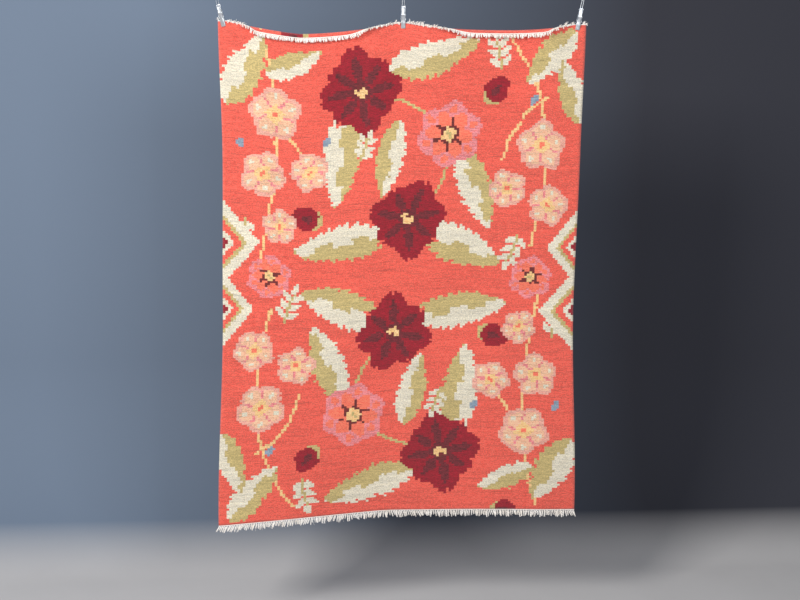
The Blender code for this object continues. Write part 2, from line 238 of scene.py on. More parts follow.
def cloth_column(across):
    """Middle of the cloth from the top edge to the bottom edge, at a place across the top."""
    sag, roll = swag_at(across)
    lip = lip_steps(roll)
    hang_down = sag + max(height for _forward, height in lip)
    bottom_down = bottom_at(across, 1)
    swing = bottom_at(across, 2)
    hang_back = fold_depth(across, hang_down)
    points = []
    for forward, height in lip:
        down = hang_down - height
        side = side_at(across, down)
        points.append(Vector((side, hang_back - forward, -EDGE_BELOW_ORIGIN - down)))
    for row in range(1, FIELD_ROWS + 1):
        down = hang_down + (bottom_down - hang_down) * row / FIELD_ROWS
        side = side_at(across, down)
        share = max((down - SWING_STARTS) / (bottom_down - SWING_STARTS), 0.0) ** 1.6
        points.append(Vector((side, swing * share + fold_depth(across, down), -EDGE_BELOW_ORIGIN - down)))
    return points


places = [TOP_LEFT + (TOP_RIGHT - TOP_LEFT) * count / COLUMNS for count in range(COLUMNS + 1)]
columns = [cloth_column(place) for place in places]
print("cloth grid:", len(columns), "columns of", len(columns[0]), "points")

# %% [markdown]
# ## The weaver's chart
# A kilim's design is worked from a squared chart: one square is one small block of weft, so every curve
# turns into steps.  The design here is a generic garden of peonies, roses, pale blossoms, two-toned
# leaves and buds, drawn from formulas and turned by half a turn for the other end of the rug.  A motif is
# a test on the distances of every square from the motif's place, so the steps come by themselves.

# %% An empty chart
YARNS = (
    "coral", "cream", "olive", "burgundy", "wine", "peach",
    "blush", "pink", "orange", "tan", "umber", "blue",
)
CORAL, CREAM, OLIVE, BURGUNDY, WINE, PEACH, BLUSH, PINK, ORANGE, TAN, UMBER, BLUE = range(len(YARNS))
chart = np.full((ROWS, COLUMNS), CORAL)
row_number, column_number = np.mgrid[0:ROWS, 0:COLUMNS]
ACROSS = ((column_number + 0.5) / COLUMNS - 0.5) * (TOP_RIGHT - TOP_LEFT)
DOWN = (row_number + 0.5) / ROWS * CLOTH_LONG

# %% [markdown]
# A hand-drawn chart is never quite even.  Bands of squares are shifted a little to the side before the
# motifs are drawn, which breaks the smooth edges into uneven fingers.

# %% Uneven edges
draw = random.Random(7)
BAND = 3
SHIFT = 0.0045
row_shift = np.array([draw.uniform(-SHIFT, SHIFT) for _ in range(ROWS // BAND + 1)])
column_shift = np.array([draw.uniform(-SHIFT, SHIFT) for _ in range(COLUMNS // BAND + 1)])
DRAWN_ACROSS = ACROSS + row_shift[row_number // BAND]
DRAWN_DOWN = DOWN + column_shift[column_number // BAND]


# %% Petals
def local(place, turn):
    """Distances along and beside a motif that points at turn degrees: 0 to the right, 90 up."""
    side = DRAWN_ACROSS - place[0]
    up = place[1] - DRAWN_DOWN
    angle = math.radians(turn)
    along = side * math.cos(angle) + up * math.sin(angle)
    beside = up * math.cos(angle) - side * math.sin(angle)
    return along, beside


def weave(where, yarn):
    chart[where] = yarn


def from_place(place, turn, distance):
    angle = math.radians(turn)
    return place[0] + math.cos(angle) * distance, place[1] - math.sin(angle) * distance


def petal(place, turn, length, width, fullness=0.75, blunt=0.6):
    along, beside = local(place, turn)
    share = np.clip(along / length, 0.0, 1.0)
    swell = np.sin(math.pi * share ** fullness) ** blunt
    return (along > 0.0) & (along < length) & (np.abs(beside) < width / 2 * swell)


# %% Leaves in two tones
def leaf(start, end, width, near=CREAM, far=OLIVE, tooth=0.045):
    """A leaf parted along a stepped rib, with a notched edge."""
    side, up = end[0] - start[0], start[1] - end[1]
    length = math.hypot(side, up)
    along, beside = local(start, math.degrees(math.atan2(up, side)))
    share = np.clip(along / length, 0.0, 1.0)
    notch = 1.0 - 0.26 * ((along / tooth) % 1.0)
    swell = np.sin(math.pi * share ** 0.8) ** 0.7 * notch
    inside = (along > 0.0) & (along < length) & (np.abs(beside) < width / 2 * swell)
    rib = 0.07 * width * np.sign(np.sin(along / tooth * math.pi / 2)) + 0.10 * width * (share - 0.5)
    weave(inside & (beside >= rib), near)
    weave(inside & (beside < rib), far)


# %% Stems
def stem(points, yarn=TAN, thick=0.0135):
    for (start_side, start_down), (end_side, end_down) in zip(points, points[1:]):
        side, up = end_side - start_side, start_down - end_down
        along, beside = local((start_side, start_down), math.degrees(math.atan2(up, side)))
        reach = math.hypot(side, up) + thick / 2
        weave((along > -thick / 2) & (along < reach) & (np.abs(beside) < thick / 2), yarn)


def curve(start, bend, end, steps=8):
    points = []
    for step in range(steps + 1):
        share = step / steps
        weights = ((1 - share) ** 2, 2 * share * (1 - share), share ** 2)
        points.append(tuple(sum(w * p for w, p in zip(weights, trio)) for trio in zip(start, bend, end)))
    return points


# %% Flowers
def peony(place, radius, turn, petals=8):
    """Burgundy petals of uneven length, each with a mottled wine-brown middle, and a tan heart."""
    reaches = (1.0, 0.80, 0.94, 0.86)
    for count in range(petals):
        length = radius * reaches[count % 4]
        weave(petal(place, turn + 360 * count / petals, length, radius * 0.78, 0.85), BURGUNDY)
    along, beside = local(place, turn)
    weave(np.hypot(along, beside) < radius * 0.60, BURGUNDY)
    for count in range(petals):
        length = radius * reaches[count % 4]
        angle = turn + 360 * count / petals
        foot = from_place(place, angle, radius * 0.22)
        weave(petal(foot, angle, length * 0.55, radius * 0.20), WINE)
        notch = from_place(place, angle, length * 0.90)
        weave(petal(notch, angle, radius * 0.2, radius * 0.07), CORAL)
    weave(np.abs(along) + np.abs(beside) < radius * 0.30, WINE)
    heart = np.abs(along) + np.abs(beside) < radius * 0.17
    weave(heart, TAN)
    weave(heart & (along > radius * 0.02) & (np.abs(beside) < radius * 0.05), UMBER)


def rose(place, radius, turn, petals=6):
    """Round pink petals with orange tips, orange inner petals, a dark ring and a tan heart."""
    for count in range(petals):
        angle = turn + 360 * count / petals
        weave(petal(place, angle, radius, radius * 0.92, 1.1, 0.5), PINK)
    along, beside = local(place, turn)
    away = np.hypot(along, beside)
    for count in range(petals):
        angle = turn + 360 * (count + 0.5) / petals
        weave(petal(place, angle, radius * 0.76, radius * 0.44, 1.2), ORANGE)
        tip = from_place(place, turn + 360 * count / petals, radius * 0.62)
        weave(petal(tip, turn + 360 * count / petals, radius * 0.26, radius * 0.24), ORANGE)
        vein_along, vein_beside = local(place, turn + 360 * count / petals)
        weave((np.abs(vein_beside) < 0.007) & (vein_along > 0) & (vein_along < radius * 0.50), UMBER)
    weave(away < radius * 0.28, UMBER)
    weave(np.abs(along) + np.abs(beside) < radius * 0.27, TAN)
    weave((np.abs(along) < 0.007) & (np.abs(beside) < radius * 0.12), OLIVE)


def blossom(place, radius, turn, petals=5):
    """Round blush petals with peach middles, rosy partings and a tan heart."""
    for count in range(petals):
        angle = turn + 360 * count / petals
        weave(petal(place, angle, radius, radius * 1.0, 1.05, 0.55), BLUSH)
    for count in range(petals):
        angle = turn + 360 * count / petals
        weave(petal(place, angle, radius * 0.84, radius * 0.72, 1.10, 0.55), PEACH)
    for count in range(petals):
        along, beside = local(place, turn + 360 * (count + 0.5) / petals)
        weave((np.abs(beside) < 0.006) & (along > radius * 0.30) & (along < radius * 0.66), PINK)
        tip = from_place(place, turn + 360 * count / petals, radius * 0.56)
        weave(petal(tip, turn + 360 * count / petals, radius * 0.22, radius * 0.18), CREAM)
    along, beside = local(place, turn)
    weave(np.abs(along) + np.abs(beside) < radius * 0.40, TAN)
    weave(np.abs(along) + np.abs(beside) < radius * 0.14, ORANGE)


# %% Buds, sprigs and steps
def bud(place, length, turn):
    """A closed burgundy bud in its olive cup."""
    foot = from_place(place, turn, -0.02)
    for lean in (-38, 38):
        weave(petal(foot, turn + lean, length * 0.62, length * 0.26), OLIVE)
    weave(petal(place, turn, length, length * 0.86, 0.8), BURGUNDY)
    weave(petal(from_place(place, turn, length * 0.2), turn, length * 0.5, length * 0.24), WINE)


def sprig(place, length, turn, pairs=3):
    """Small cream leaves in pairs on a short stalk."""
    for count in range(pairs):
        foot = from_place(place, turn, length * (count + 0.4) / pairs)
        for lean in (-55, 55):
            weave(petal(foot, turn + lean, length * 0.50, length * 0.24), CREAM)
    tip = from_place(place, turn, length)
    weave(petal(tip, turn, length * 0.45, length * 0.24), CREAM)
    stem([place, tip], OLIVE, 0.013)


def side_steps(place, wide, tall):
    """A stepped half diamond that grows in from the side edge."""
    share = np.abs(ACROSS - place[0]) / wide + np.abs(DOWN - place[1]) / tall
    for limit, yarn in ((1.0, CREAM), (0.66, OLIVE), (0.52, CORAL), (0.30, CREAM), (0.14, BURGUNDY)):
        weave(share < limit, yarn)


# %% [markdown]
# One half of the rug is laid out in metres from the middle of the rug and from its top edge: a bouquet in
# the middle, sprays of blossom up both sides, and leaves in the corners.  The other half is the same,
# turned round the middle of the rug.

# %% Lay out the garden
def half_garden(turned_over):
    spin = 180 if turned_over else 0

    def at(side, level):
        return (-side, CLOTH_LONG - level) if turned_over else (side, level)

    # stems of the side sprays
    stem(curve(at(-0.66, 0.02), at(-0.52, 0.45), at(-0.68, 1.10)))
    stem(curve(at(-0.60, 0.44), at(-0.50, 0.52), at(-0.44, 0.66)))
    stem(curve(at(0.50, 0.06), at(0.80, 0.45), at(0.62, 1.04)))
    stem(curve(at(0.68, 0.34), at(0.52, 0.42), at(0.48, 0.62)))
    # corners
    leaf(at(-0.83, 0.36), at(-0.64, 0.05), 0.19)
    leaf(at(-0.64, 0.22), at(-0.38, 0.11), 0.13, OLIVE, CREAM)
    leaf(at(0.80, 0.02), at(0.58, 0.27), 0.16)
    leaf(at(0.84, 0.45), at(0.74, 0.15), 0.14, OLIVE, CREAM)
    bud(at(-0.46, 0.00), 0.11, 180 + spin)
    # leaves of the bouquet
    leaf(at(-0.08, 0.22), at(0.36, 0.07), 0.18)
    leaf(at(-0.26, 0.38), at(-0.32, 0.84), 0.20, OLIVE, CREAM)
    leaf(at(-0.02, 0.44), at(-0.10, 0.80), 0.15)
    leaf(at(0.28, 0.58), at(0.42, 0.95), 0.18, OLIVE, CREAM)
    leaf(at(0.08, 0.94), at(0.48, 1.12), 0.20)
    leaf(at(-0.06, 0.98), at(-0.52, 1.04), 0.19, OLIVE, CREAM)
    stem(curve(at(-0.16, 0.32), at(0.16, 0.36), at(0.22, 0.52)), OLIVE)
    stem(curve(at(0.22, 0.52), at(0.24, 0.74), at(0.04, 0.88)), OLIVE)
    # flowers of the bouquet
    peony(at(-0.20, 0.30), 0.215, 100 + spin)
    rose(at(0.22, 0.50), 0.155, 20 + spin)
    peony(at(0.03, 0.90), 0.205, 66 + spin, 7)
    bud(at(-0.40, 0.90), 0.13, 160 + spin)
    bud(at(0.40, 0.34), 0.13, 50 + spin)
    # blossoms
    blossom(at(-0.60, 0.40), 0.125, 90 + spin)
    blossom(at(-0.44, 0.66), 0.095, 30 + spin)
    blossom(at(-0.66, 0.68), 0.110, 60 + spin)
    blossom(at(-0.58, 0.92), 0.085, 90 + spin)
    blossom(at(0.66, 0.56), 0.120, 90 + spin)
    blossom(at(0.50, 0.76), 0.095, 40 + spin)
    blossom(at(0.70, 0.84), 0.100, 80 + spin)
    # small things between
    sprig(at(0.46, 0.20), 0.13, 100 + spin)
    sprig(at(-0.74, 0.88), 0.13, 260 + spin)
    sprig(at(0.56, 0.98), 0.13, 250 + spin)
    sprig(at(-0.20, 0.62), 0.11, 70 + spin)
    side_steps(at(-0.843, 1.00), 0.17, 0.19)
    side_steps(at(0.843, 1.04), 0.14, 0.17)
    rose(at(-0.63, 1.16), 0.105, 80 + spin)
    for side, level in ((-0.37, 0.55), (0.60, 0.37), (-0.77, 0.55)):
        weave(petal(at(side, level), 60 + spin, 0.05, 0.035), BLUE)


half_garden(False)
half_garden(True)
for yarn, name in enumerate(YARNS):
    print("chart:", name, round(100.0 * float((chart == yarn).mean()), 1), "% of the squares")

# %% [markdown]
# ## The woven sheet
# The sheet is a grid with one quad for each square of the chart, and closer rows where it rolls over at
# the top.  Solidify gives it its 3 mm.  Each face carries two colours: the dye of its yarn, and the
# second tone that is spun into it, which shows as flecks.  Each point carries its place on the flat
# cloth, so that the weave runs along the cloth in the roll as well.

# %% Dyes of the yarns
def dye(red, green, blue):
    """A screen colour as the linear colour that the shader takes."""
    return tuple((value / 255.0) ** 2.2 for value in (red, green, blue)) + (1.0,)


DYES = {
    CORAL: (dye(231, 102, 86), dye(213, 76, 62)),
    CREAM: (dye(224, 217, 199), dye(206, 196, 172)),
    OLIVE: (dye(200, 180, 122), dye(170, 150, 96)),
    BURGUNDY: (dye(162, 20, 42), dye(118, 14, 28)),
    WINE: (dye(128, 38, 48), dye(72, 26, 30)),
    PEACH: (dye(232, 192, 158), dye(222, 160, 128)),
    BLUSH: (dye(226, 176, 158), dye(216, 140, 124)),
    PINK: (dye(226, 146, 150), dye(214, 104, 104)),
    ORANGE: (dye(242, 128, 100), dye(226, 96, 76)),
    TAN: (dye(236, 200, 146), dye(222, 172, 108)),
    UMBER: (dye(88, 40, 34), dye(118, 34, 40)),
    BLUE: (dye(146, 162, 176), dye(112, 130, 150)),
}


# %% Build the sheet
def bent_grid(name, rows_of_points):
    grid = bmesh.new()
    count_across = len(rows_of_points[0])
    count_down = len(rows_of_points)
    bmesh.ops.create_grid(grid, x_segments=count_across - 1, y_segments=count_down - 1, size=0.5)
    for vertex in grid.verts:
        column = round((vertex.co.x + 0.5) * (count_across - 1))
        row = round((0.5 - vertex.co.y) * (count_down - 1))
        vertex.co = rows_of_points[row][column]
    mesh = bpy.data.meshes.new(name)
    grid.to_mesh(mesh)
    grid.free()
    mesh.shade_smooth()
    return mesh


def add_piece(name, data, material=None):
    piece = bpy.data.objects.new(name, data)
    scene.collection.objects.link(piece)
    if material:
        data.materials.append(material)
    return piece


rug_mesh = bent_grid("woven_rug", list(zip(*columns)))
rug = add_piece("woven_rug", rug_mesh)
print("sheet:", len(rug_mesh.polygons), "quads before it is thickened")

# %% Lay the yarns and the flat place on the mesh
lengths = [0.0]
for upper, lower in zip(columns[COLUMNS // 4], columns[COLUMNS // 4][1:]):
    lengths.append(lengths[-1] + (lower - upper).length)


def chart_row(mesh_row):
    """Row of the chart for a row of faces: the lip has several rows of faces to one square."""
    if mesh_row < LIP_ROWS:
        return mesh_row * LIP_CELLS // LIP_ROWS
    return mesh_row - LIP_ROWS + LIP_CELLS


slot_of_point = {}
for column, points in enumerate(columns):
    for row, point in enumerate(points):
        slot_of_point[tuple(round(value, 6) for value in point)] = (row, column)

flat_place = rug_mesh.attributes.new("flat_place", "FLOAT_VECTOR", "POINT")
grid_slot = [slot_of_point[tuple(round(value, 6) for value in vertex.co)] for vertex in rug_mesh.vertices]
for vertex, (row, column) in zip(rug_mesh.vertices, grid_slot):
    flat_place.data[vertex.index].vector = (places[column], -lengths[row], 0.0)

yarn_dye = rug_mesh.attributes.new("yarn_dye", "FLOAT_COLOR", "FACE")
yarn_fleck = rug_mesh.attributes.new("yarn_fleck", "FLOAT_COLOR", "FACE")
for face in rug_mesh.polygons:
    corners = [grid_slot[index] for index in face.vertices]
    row = min(corner[0] for corner in corners)
    column = min(corner[1] for corner in corners)
    main_tone, second_tone = DYES[int(chart[chart_row(row), column])]
    yarn_dye.data[face.index].color = main_tone
    yarn_fleck.data[face.index].color = second_tone

thick = rug.modifiers.new("Thickness", "SOLIDIFY")
thick.thickness = CLOTH
thick.offset = 0.0
print("flat length of a column:", round(lengths[-1], 3), "m")


# %% [markdown]
# ## Wool
# Weft-faced wool is matt, ribbed across the rug, and never one flat colour: each batch of dyed yarn
# differs a little, so faint streaks run across the field, and mottled yarns show both of their tones.
# The colour comes from the two face colours, mixed by a noise that is drawn out along the weft.  The
# stitches are a bump, and their colour carries painted shade as well: lighter over each stitch and darker
# in the gaps, because at under 5 mm they are finer than the mesh.

# %% Node helpers
def new_material(name):
    material = bpy.data.materials.new(name)
    material.use_nodes = True
    tree = material.node_tree
    return material, tree, tree.nodes["Principled BSDF"]


def add_node(tree, kind, values=(), **settings):
    node = tree.nodes.new(kind)
    for key, value in settings.items():
        setattr(node, key, value)
    for socket, value in dict(values).items():
        node.inputs[socket].default_value = value
    return node


def attribute_node(tree, name):
    return add_node(tree, "ShaderNodeAttribute", attribute_name=name)


def noise_node(tree, vector, stretch, scale, detail=3.0, roughness=0.6):
    """Noise on a vector that is first stretched, so that its grain runs one way."""
    mapping = add_node(tree, "ShaderNodeMapping", {"Scale": stretch})
    tree.links.new(vector, mapping.inputs["Vector"])
    noise = add_node(
        tree, "ShaderNodeTexNoise", {"Scale": scale, "Detail": detail, "Roughness": roughness}
    )
    tree.links.new(mapping.outputs["Vector"], noise.inputs["Vector"])
    return noise.outputs["Fac"]


def remap(tree, value, from_low, from_high, to_low, to_high):
    node = add_node(
        tree,
        "ShaderNodeMapRange",
        {"From Min": from_low, "From Max": from_high, "To Min": to_low, "To Max": to_high},
    )
    tree.links.new(value, node.inputs["Value"])
    return node.outputs["Result"]


def mix_colour(tree, factor, first, second, blend="MIX"):
    node = add_node(tree, "ShaderNodeMix", data_type="RGBA", blend_type=blend)
    for socket, source in ((0, factor), (6, first), (7, second)):
        if isinstance(source, (float, tuple)):
            node.inputs[socket].default_value = source
        else:
            tree.links.new(source, node.inputs[socket])
    return node.outputs[2]


def math_node(tree, operation, first, second):
    node = add_node(tree, "ShaderNodeMath", operation=operation)
    for socket, source in enumerate((first, second)):
        if isinstance(source, float):
            node.inputs[socket].default_value = source
        else:
            tree.links.new(source, node.inputs[socket])
    return node.outputs["Value"]


def bump_node(tree, height, distance, shader):
    node = add_node(tree, "ShaderNodeBump", {"Distance": distance, "Strength": 1.0})
    tree.links.new(height, node.inputs["Height"])
    tree.links.new(node.outputs["Normal"], shader.inputs["Normal"])


# %% Weft-faced wool
STITCH_WIDE = 0.0046
STITCH_TALL = 0.0017
STITCH_GAP = 0.00060


def stitch_node(tree, place):
    """Weft stitches over neighbouring warps, each row half a stitch along from the last; 1 in the gaps."""
    wander = add_node(tree, "ShaderNodeTexNoise", {"Scale": 260.0, "Detail": 1.0})
    tree.links.new(place, wander.inputs["Vector"])
    scaled = add_node(tree, "ShaderNodeVectorMath", {"Scale": 0.0018}, operation="SCALE")
    tree.links.new(wander.outputs["Color"], scaled.inputs[0])
    moved = add_node(tree, "ShaderNodeVectorMath", operation="ADD")
    tree.links.new(place, moved.inputs[0])
    tree.links.new(scaled.outputs["Vector"], moved.inputs[1])
    sizes = {
        "Scale": 1.0,
        "Mortar Size": STITCH_GAP,
        "Mortar Smooth": 1.0,
        "Brick Width": STITCH_WIDE,
        "Row Height": STITCH_TALL,
    }
    stitches = add_node(tree, "ShaderNodeTexBrick", sizes, offset=0.5, offset_frequency=2)
    tree.links.new(moved.outputs["Vector"], stitches.inputs["Vector"])
    return stitches.outputs["Fac"]


def wool_material():
    material, tree, shader = new_material("weft_faced_wool")
    place = attribute_node(tree, "flat_place").outputs["Vector"]
    base = attribute_node(tree, "yarn_dye").outputs["Color"]
    fleck = attribute_node(tree, "yarn_fleck").outputs["Color"]
    spun = noise_node(tree, place, (0.30, 1.0, 1.0), 150.0, 3.0, 0.8)
    colour = mix_colour(tree, remap(tree, spun, 0.36, 0.64, 0.0, 1.0), base, fleck)
    streaks = noise_node(tree, place, (0.10, 1.0, 1.0), 60.0, 5.0, 0.75)
    batches = noise_node(tree, place, (0.22, 1.0, 1.0), 9.0, 3.0, 0.6)
    speckle = noise_node(tree, place, (0.7, 1.0, 1.0), 210.0, 2.0, 0.6)
    slack_wefts = noise_node(tree, place, (0.03, 1.0, 1.0), 240.0, 2.0, 0.5)
    gaps = stitch_node(tree, place)
    # painted light and shade: the first factor makes each stitch lighter over its middle and darker in its
    # gaps; the others are dye streaks, dye batches, speckle and dark weft lines
    tone_and_stitch_shade_factors = (
        remap(tree, gaps, 0.0, 1.0, 1.52, 1.05),
        remap(tree, streaks, 0.3, 0.7, 0.81, 1.13),
        remap(tree, batches, 0.3, 0.7, 0.92, 1.06),
        remap(tree, speckle, 0.35, 0.65, 0.79, 1.21),
        remap(tree, slack_wefts, 0.60, 0.70, 1.0, 0.70),
    )
    tone_and_stitch_shade = tone_and_stitch_shade_factors[0]
    for other in tone_and_stitch_shade_factors[1:]:
        tone_and_stitch_shade = math_node(tree, "MULTIPLY", tone_and_stitch_shade, other)
    combined = add_node(tree, "ShaderNodeCombineColor")
    for socket in range(3):
        tree.links.new(tone_and_stitch_shade, combined.inputs[socket])
    colour = mix_colour(tree, 1.0, colour, combined.outputs["Color"], "MULTIPLY")
    tree.links.new(colour, shader.inputs["Base Color"])
    fibre = noise_node(tree, place, (0.4, 1.0, 1.0), 900.0, 3.0)
    height = math_node(tree, "MULTIPLY", gaps, -1.6)
    height = math_node(tree, "ADD", height, math_node(tree, "MULTIPLY", fibre, 0.8))
    height = math_node(tree, "ADD", height, math_node(tree, "MULTIPLY", streaks, 1.5))
    height = math_node(tree, "ADD", height, math_node(tree, "MULTIPLY", speckle, 2.0))
    bump_node(tree, height, 0.0005, shader)
    shader.inputs["Roughness"].default_value = 0.92
    shader.inputs["Specular IOR Level"].default_value = 0.25
    shader.inputs["Sheen Weight"].default_value = 0.25
    shader.inputs["Sheen Roughness"].default_value = 0.55
    return material


wool = wool_material()
rug_mesh.materials.append(wool)
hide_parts("woven_field")
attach(rug, "root")
print("wool: stitches of", STITCH_WIDE * 1000, "by", STITCH_TALL * 1000, "mm")

# %% [markdown]
# ## The fringes
# The warps come out of both ends of the cloth.  A twined cord locks the last weft, and beyond it the
# warps hang in small twisted locks.  Each lock is three thin strands turned round each other, and they
# all grow from one list of frames along the edge: a root, a direction outwards and a front.

# %% Frames along the ends of the cloth
TOP_PITCH = 0.0062
BOTTOM_PITCH = 0.0078
LOCK_HANGS = math.radians(171.0)


def end_frames(row, inner_row, pitch):
    """Root, outward direction and front of the cloth at even places along one end."""
    edge = [column[row] for column in columns]
    inner = [column[inner_row] for column in columns]
    frames = []
    count = round((TOP_RIGHT - TOP_LEFT) / pitch)
    for number in range(count + 1):
        spot = COLUMNS * number / count
        low = min(int(spot), COLUMNS - 1)
        share = spot - low
        place = edge[low].lerp(edge[low + 1], share)
        outward = (place - inner[low].lerp(inner[low + 1], share)).normalized()
        along = (edge[low + 1] - edge[low]).normalized()
        outward = (outward - along * outward.dot(along)).normalized()
        front = along.cross(outward)
        frames.append((place + outward * PARTING, outward, front))
    return frames


# %% Tubes round a path
def add_tube(mesh, points, radii, sides=5):
    """A closed tube with its own radius at each point of its path."""
    rings = []
    for number, (point, radius) in enumerate(zip(points, radii)):
        before = points[max(number - 1, 0)]
        after = points[min(number + 1, len(points) - 1)]
        direction = (after - before).normalized()
        side = direction.orthogonal() if number == 0 else side - direction * side.dot(direction)
        side.normalize()
        up = direction.cross(side)
        ring = []
        for corner in range(sides):
            angle = math.tau * corner / sides
            ring.append(mesh.verts.new(point + (side * math.cos(angle) + up * math.sin(angle)) * radius))
        rings.append(ring)
    for low, high in zip(rings, rings[1:]):
        for corner in range(sides):
            follow = (corner + 1) % sides
            mesh.faces.new((low[corner], low[follow], high[follow], high[corner]))
    mesh.faces.new(rings[0][::-1])
    mesh.faces.new(rings[-1])


def finish_mesh(name, mesh, material):
    data = bpy.data.meshes.new(name)
    mesh.to_mesh(data)
    mesh.free()
    data.shade_smooth()
    return add_piece(name, data, material)


# %% Cotton
def cotton_material():
    """Undyed cotton: warm cream, a little darker in the twist and unevenly soiled."""
    material, tree, shader = new_material("undyed_cotton")
    place = add_node(tree, "ShaderNodeTexCoord").outputs["Object"]
    tone = noise_node(tree, place, (1.0, 1.0, 1.0), 22.0, 3.0)
    fibre = noise_node(tree, place, (1.0, 1.0, 0.25), 1400.0, 3.0)
    cream, oat = dye(255, 253, 250), dye(246, 238, 228)
    colour = mix_colour(tree, remap(tree, tone, 0.35, 0.75, 0.0, 1.0), cream, oat)
    shaded = mix_colour(tree, remap(tree, fibre, 0.3, 0.7, 0.0, 0.30), colour, dye(222, 212, 196))
    tree.links.new(shaded, shader.inputs["Base Color"])
    bump_node(tree, fibre, 0.0004, shader)
    shader.inputs["Roughness"].default_value = 0.88
    shader.inputs["Specular IOR Level"].default_value = 0.2
    shader.inputs["Sheen Weight"].default_value = 0.2
    return material


cotton = cotton_material()

# %% Twined heading
TWIST_STEPS = 6
TWIST_RADIUS = 0.0011
STRAND = 0.0012
HEADING_LEVEL = 0.0022


def heading_mesh(name, frames):
    """Two cords of twining along the edge."""
    mesh = bmesh.new()
    for strand in range(2):
        path = []
        for number in range((len(frames) - 1) * TWIST_STEPS + 1):
            low = min(number // TWIST_STEPS, len(frames) - 2)
            share = number / TWIST_STEPS - low
            root, outward, front = (a.lerp(b, share) for a, b in zip(frames[low], frames[low + 1]))
            angle = math.tau * number / TWIST_STEPS + math.pi * strand
            away = outward * (HEADING_LEVEL + TWIST_RADIUS * math.cos(angle))
            path.append(root + away + front * TWIST_RADIUS * math.sin(angle))
        add_tube(mesh, path, [STRAND] * len(path), 5)
    return finish_mesh(name, mesh, cotton)


# %% Hanging locks
NECK = 0.0040


def lock_centres(root, outward, length, lean, droop, bow, segments=8):
    """Centre points of one lock.  A top lock starts along the rolled edge and bends over until it hangs."""
    point = root + outward * NECK
    started = math.atan2(-outward.y, outward.z)
    centres = [point.copy()]
    for count in range(1, segments + 1):
        run = (count - 0.5) * length / segments
        share = 1.0 - math.exp(-run / droop) if droop else 0.0
        angle = started + (LOCK_HANGS - started) * share + bow * run / length
        heading = Vector((lean + outward.x * (1.0 - share), -math.sin(angle), math.cos(angle)))
        point = point + heading.normalized() * (length / segments)
        centres.append(point.copy())
    return centres


def twisted_lock(mesh, centres, front, draw, width):
    """Three strands that turn round each other: a narrow neck, a full belly and a tip that parts."""
    turns = draw.uniform(1.0, 1.8) * draw.choice((-1, 1))
    phase = draw.uniform(0.0, math.tau)
    last = len(centres) - 1
    for strand in range(3):
        path, radii = [], []
        for number, centre in enumerate(centres):
            share = number / last
            belly = smooth_step(share / 0.35)
            direction = (centres[min(number + 1, last)] - centres[max(number - 1, 0)]).normalized()
            side = direction.cross(front).normalized()
            angle = phase + math.tau * (strand / 3.0 + turns * share)
            reach = width * (0.24 + 0.44 * belly - 0.24 * share + 0.30 * share ** 6)
            away = side * math.cos(angle) + direction.cross(side) * math.sin(angle) * 0.7
            path.append(centre + away * reach)
            radii.append(width * (0.36 + 0.18 * belly - 0.22 * share))
        add_tube(mesh, path, radii, 5)


def corner_lean(side, splay):
    lean = 0.0
    for corner, reach, amount in splay:
        away = abs(side - (TOP_LEFT if corner < 0.0 else TOP_RIGHT))
        lean += corner * amount * math.exp(-away / reach)
    return lean


# %% Fringes, tidy at the bottom and tangled at the top
LOOSE_THREAD = 0.00055
# lengths, widths, bow, stray, share of the stray that carries over, loose threads to a lock
TANGLED = ((0.015, 0.022), (0.0022, 0.0028), 0.6, 0.50, 0.30, 4)
TIDY = ((0.025, 0.037), (0.0026, 0.0032), 0.7, 0.24, 0.75, 2)
# how soon a top lock bends over
DROOPS = (0.006, 0.007, 0.008, 0.010, 0.022)


def locks_mesh(name, frames, skips, tangled, splay, seed):
    """Locks lean in small groups at the bottom; at the top each one goes its own way."""
    draw = random.Random(seed)
    mesh = bmesh.new()
    drift = 0.0
    made = 0
    lengths, widths, bows, stray, keep, thread_count = TANGLED if tangled else TIDY
    for low, high in zip(frames, frames[1:]):
        root, outward, front = (a.lerp(b, 0.5) for a, b in zip(low, high))
        drift = drift * keep + draw.uniform(-stray, stray)
        length = draw.uniform(*lengths)
        width = draw.uniform(*widths)
        bow = draw.uniform(-bows, bows)
        droop = draw.choice(DROOPS) if tangled else 0.0
        threads = [(draw.uniform(-0.9, 0.9), draw.uniform(0.6, 1.15)) for _ in range(thread_count)]
        if any(start - 0.001 <= root.x <= end + 0.003 for start, end in skips):
            continue
        lean = drift + corner_lean(root.x, splay)
        twisted_lock(mesh, lock_centres(root, outward, length, lean, droop, bow), front, draw, width)
        for turn, share in threads:
            loose = lock_centres(root, outward, length * share, lean + turn, droop * 1.6, bow - turn, 5)
            add_tube(mesh, loose, [LOOSE_THREAD] * len(loose), 3)
        made += 1
    print(name + ":", made, "locks,", len(mesh.faces), "faces")
    return finish_mesh(name, mesh, cotton)


# %% Build both fringes
TOP_SPLAY = ((-1.0, 0.05, 0.32), (1.0, 0.03, 0.32))
BOTTOM_SPLAY = ((-1.0, 0.16, 0.70), (1.0, 0.03, 0.32))
held = [(start, end) for _side, _place, _lean, start, end in CLIPS]
ends = (
    ("top", end_frames(0, 1, TOP_PITCH), held, True, TOP_SPLAY, 17),
    ("bottom", end_frames(-1, -2, BOTTOM_PITCH), (), False, BOTTOM_SPLAY, 29),
)
for end, frames, skips, tangled, splay, seed in ends:
    heading = heading_mesh(end + "_twined_heading", frames)
    locks = locks_mesh(end + "_fringe_locks", frames, skips, tangled, splay, seed)
    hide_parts(end + "_fringe")
    for piece in (heading, locks):
        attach(piece, "root")

# %% [markdown]
# ## The clips
# The clips are pressed sheet steel, polished and slightly marked by use: fine scratches, and soft smears
# in the gloss.

